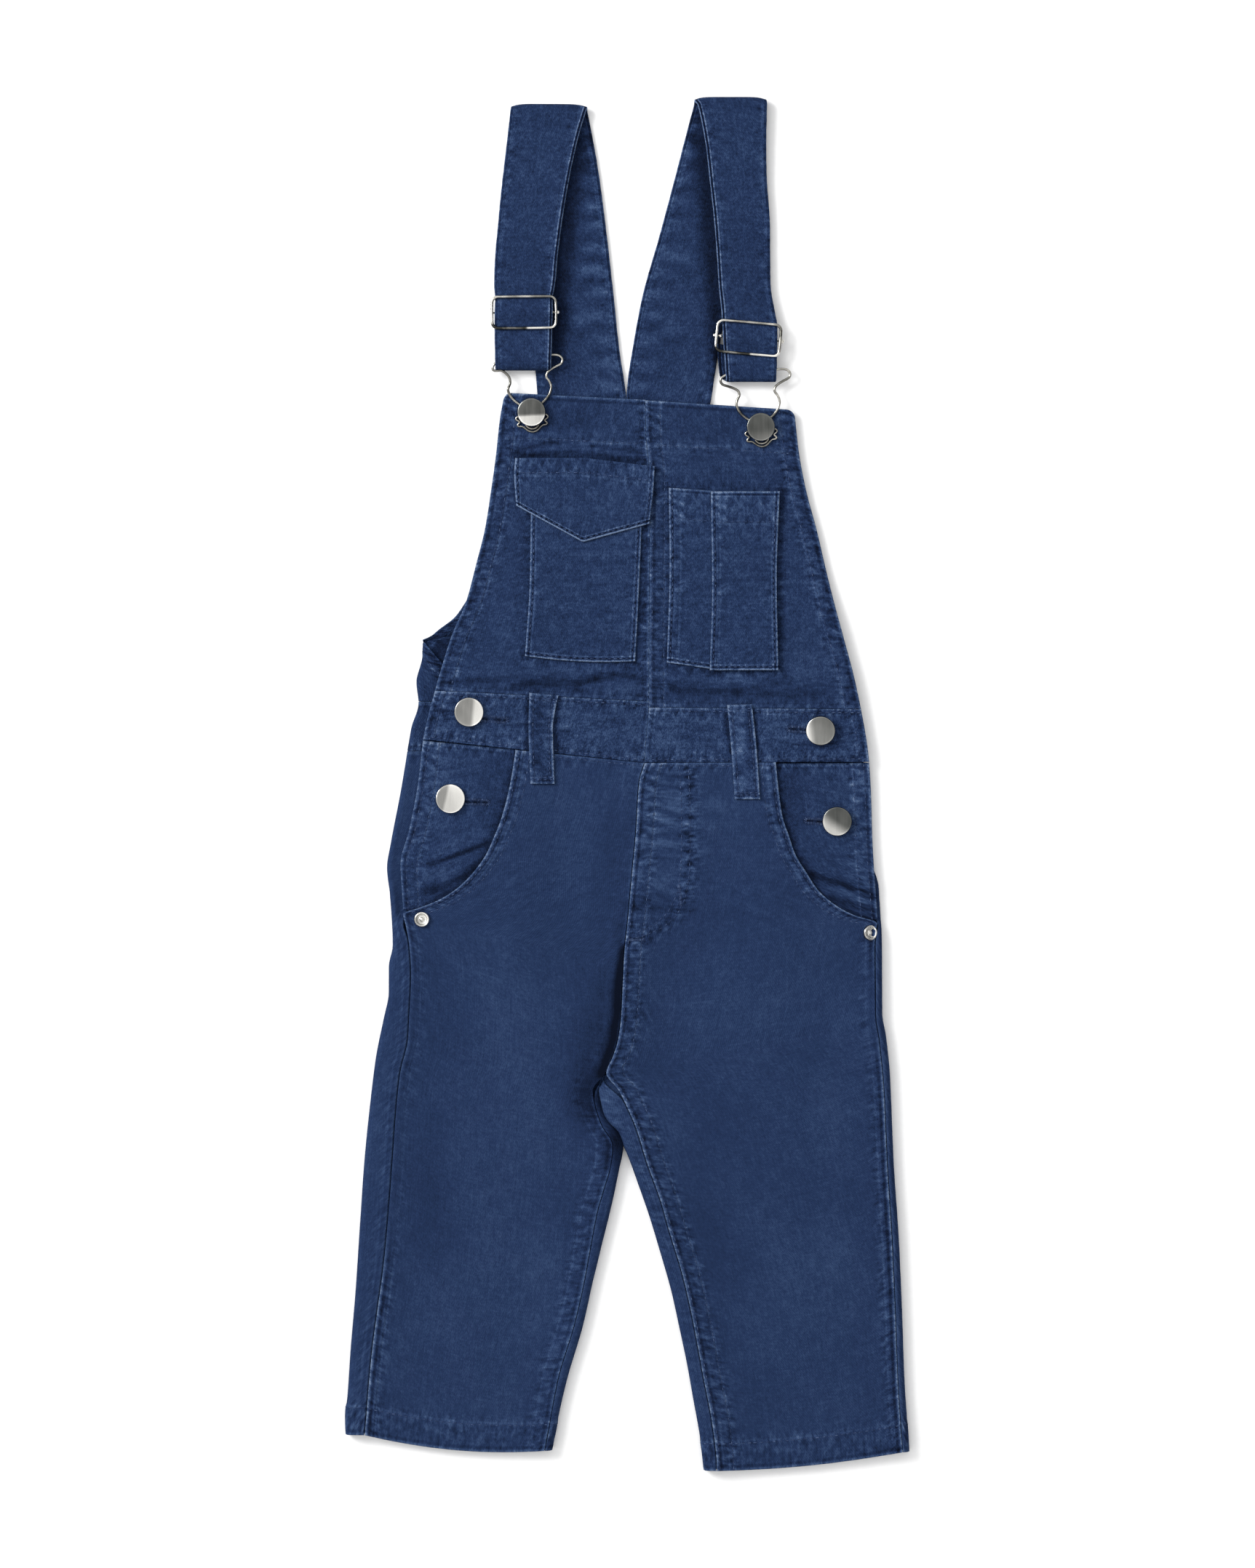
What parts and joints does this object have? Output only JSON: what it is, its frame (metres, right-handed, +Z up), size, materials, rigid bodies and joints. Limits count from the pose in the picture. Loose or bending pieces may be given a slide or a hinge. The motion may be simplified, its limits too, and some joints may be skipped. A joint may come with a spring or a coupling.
{
  "type": "baby dungarees",
  "caption": "Baby's long-legged denim dungarees laid flat, front up: a bib with patch pockets, straps with wire sliders and hooks, and side openings that button.",
  "frame": {"origin": "bottom centre of the bounding box, on the surface that the garment lies on", "axes": "+Y from the hems to the shoulder folds, +X to the viewer's right with the front up, +Z up out of the front"},
  "size_m": [0.2864, 0.6984, 0.0081],
  "materials": {
    "back_bib_denim": "washed indigo denim twill, matt",
    "back_leg_l_denim": "washed indigo denim twill, matt",
    "back_leg_r_denim": "washed indigo denim twill, matt",
    "back_waistband_denim": "washed indigo denim twill, matt",
    "belt_loop_l_denim": "washed indigo denim twill, matt",
    "belt_loop_r_denim": "washed indigo denim twill, matt",
    "bib_flap_l_denim": "washed indigo denim twill, matt",
    "bib_l_denim": "washed indigo denim twill, matt",
    "bib_pen_slot_r_denim": "washed indigo denim twill, matt",
    "bib_pocket_l_denim": "washed indigo denim twill, matt",
    "bib_pocket_r_denim": "washed indigo denim twill, matt",
    "bib_r_denim": "washed indigo denim twill, matt",
    "front_leg_l_denim": "washed indigo denim twill, matt",
    "front_leg_r_denim": "washed indigo denim twill, matt",
    "hip_facing_l_denim": "washed indigo denim twill, matt",
    "hip_facing_r_denim": "washed indigo denim twill, matt",
    "strap_l_denim": "washed indigo denim twill, matt",
    "strap_r_denim": "washed indigo denim twill, matt",
    "waistband_l_denim": "washed indigo denim twill, matt",
    "waistband_r_denim": "washed indigo denim twill, matt",
    "bib_button_l_nickel": "satin nickel plate",
    "bib_button_r_nickel": "satin nickel plate",
    "hook_keeper_l_nickel": "satin nickel plate",
    "hook_keeper_r_nickel": "satin nickel plate",
    "hook_l_nickel": "satin nickel plate",
    "hook_r_nickel": "satin nickel plate",
    "pocket_rivet_l_nickel": "satin nickel plate",
    "pocket_rivet_r_nickel": "satin nickel plate",
    "side_button_lower_l_nickel": "satin nickel plate",
    "side_button_lower_r_nickel": "satin nickel plate",
    "side_button_upper_l_nickel": "satin nickel plate",
    "side_button_upper_r_nickel": "satin nickel plate",
    "slider_bar_l_nickel": "satin nickel plate",
    "slider_bar_r_nickel": "satin nickel plate",
    "slider_l_nickel": "satin nickel plate",
    "slider_r_nickel": "satin nickel plate"
  },
  "bodies": {
    "root": {"back_bib": "back_bib_denim", "back_leg_l": "back_leg_l_denim", "back_leg_r": "back_leg_r_denim", "back_waistband": "back_waistband_denim", "belt_loop_l": "belt_loop_l_denim", "belt_loop_r": "belt_loop_r_denim", "bib_flap_l": "bib_flap_l_denim", "bib_l": "bib_l_denim", "bib_pen_slot_r": "bib_pen_slot_r_denim", "bib_pocket_l": "bib_pocket_l_denim", "bib_pocket_r": "bib_pocket_r_denim", "bib_r": "bib_r_denim", "front_leg_l": "front_leg_l_denim", "front_leg_r": "front_leg_r_denim", "hip_facing_l": "hip_facing_l_denim", "hip_facing_r": "hip_facing_r_denim", "strap_l": "strap_l_denim", "strap_r": "strap_r_denim", "waistband_l": "waistband_l_denim", "waistband_r": "waistband_r_denim", "bib_button_l": "bib_button_l_nickel", "bib_button_r": "bib_button_r_nickel", "hook_keeper_l": "hook_keeper_l_nickel", "hook_keeper_r": "hook_keeper_r_nickel", "hook_l": "hook_l_nickel", "hook_r": "hook_r_nickel", "pocket_rivet_l": "pocket_rivet_l_nickel", "pocket_rivet_r": "pocket_rivet_r_nickel", "side_button_lower_l": "side_button_lower_l_nickel", "side_button_lower_r": "side_button_lower_r_nickel", "side_button_upper_l": "side_button_upper_l_nickel", "side_button_upper_r": "side_button_upper_r_nickel", "slider_bar_l": "slider_bar_l_nickel", "slider_bar_r": "slider_bar_r_nickel", "slider_l": "slider_l_nickel", "slider_r": "slider_r_nickel"}
  },
  "joints": []
}
